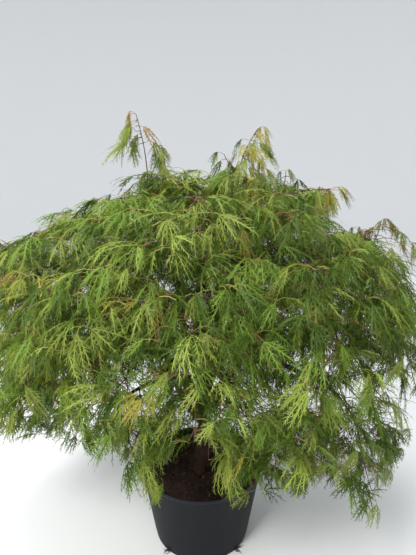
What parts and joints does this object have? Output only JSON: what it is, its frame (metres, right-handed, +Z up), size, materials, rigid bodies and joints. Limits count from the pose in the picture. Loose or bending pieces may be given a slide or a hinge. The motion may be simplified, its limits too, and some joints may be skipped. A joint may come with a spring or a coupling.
{
  "type": "potted laceleaf maple",
  "caption": "Weeping laceleaf maple with a broad dome of finely cut green leaves on arching boughs, standing in a round black nursery pot.",
  "frame": {"origin": "middle of the pot's flat underside, on the surface that the pot stands on", "axes": "+Z up along the pot's axis; the plant's front faces -Y; +X is the viewer's right"},
  "size_m": [0.9296, 0.7028, 0.9437],
  "materials": {
    "pot_plastic": "injection moulded charcoal black polypropylene, satin matte, with a thin rim band",
    "potting_soil": "dark peat and composted bark chips, rough and slightly damp",
    "bark": "smooth grey-brown maple bark with fine lengthwise furrows",
    "foliage": "thin finely cut leaves, yellow-green when young to mid and dark green, satin"
  },
  "bodies": {
    "root": {"bough_back": "bark", "bough_front": "bark", "bough_left": "bark", "bough_left_back": "bark", "bough_left_front": "bark", "bough_right": "bark", "bough_right_back": "bark", "bough_right_front": "bark", "bough_skirt_back": "bark", "bough_skirt_front": "bark", "bough_skirt_left": "bark", "bough_skirt_left_back": "bark", "bough_skirt_left_front": "bark", "bough_skirt_right": "bark", "bough_skirt_right_back": "bark", "bough_skirt_right_front": "bark", "bough_top_back": "bark", "bough_top_front": "bark", "bough_top_left": "bark", "bough_top_right": "bark", "foliage_back": "foliage", "foliage_front": "foliage", "foliage_left": "foliage", "foliage_left_back": "foliage", "foliage_left_front": "foliage", "foliage_right": "foliage", "foliage_right_back": "foliage", "foliage_right_front": "foliage", "foliage_skirt_back": "foliage", "foliage_skirt_front": "foliage", "foliage_skirt_left": "foliage", "foliage_skirt_left_back": "foliage", "foliage_skirt_left_front": "foliage", "foliage_skirt_right": "foliage", "foliage_skirt_right_back": "foliage", "foliage_skirt_right_front": "foliage", "foliage_top_back": "foliage", "foliage_top_front": "foliage", "foliage_top_left": "foliage", "foliage_top_right": "foliage", "pot": "pot_plastic", "pruned_limb": "bark", "soil": "potting_soil", "trunk": "bark"}
  },
  "joints": []
}
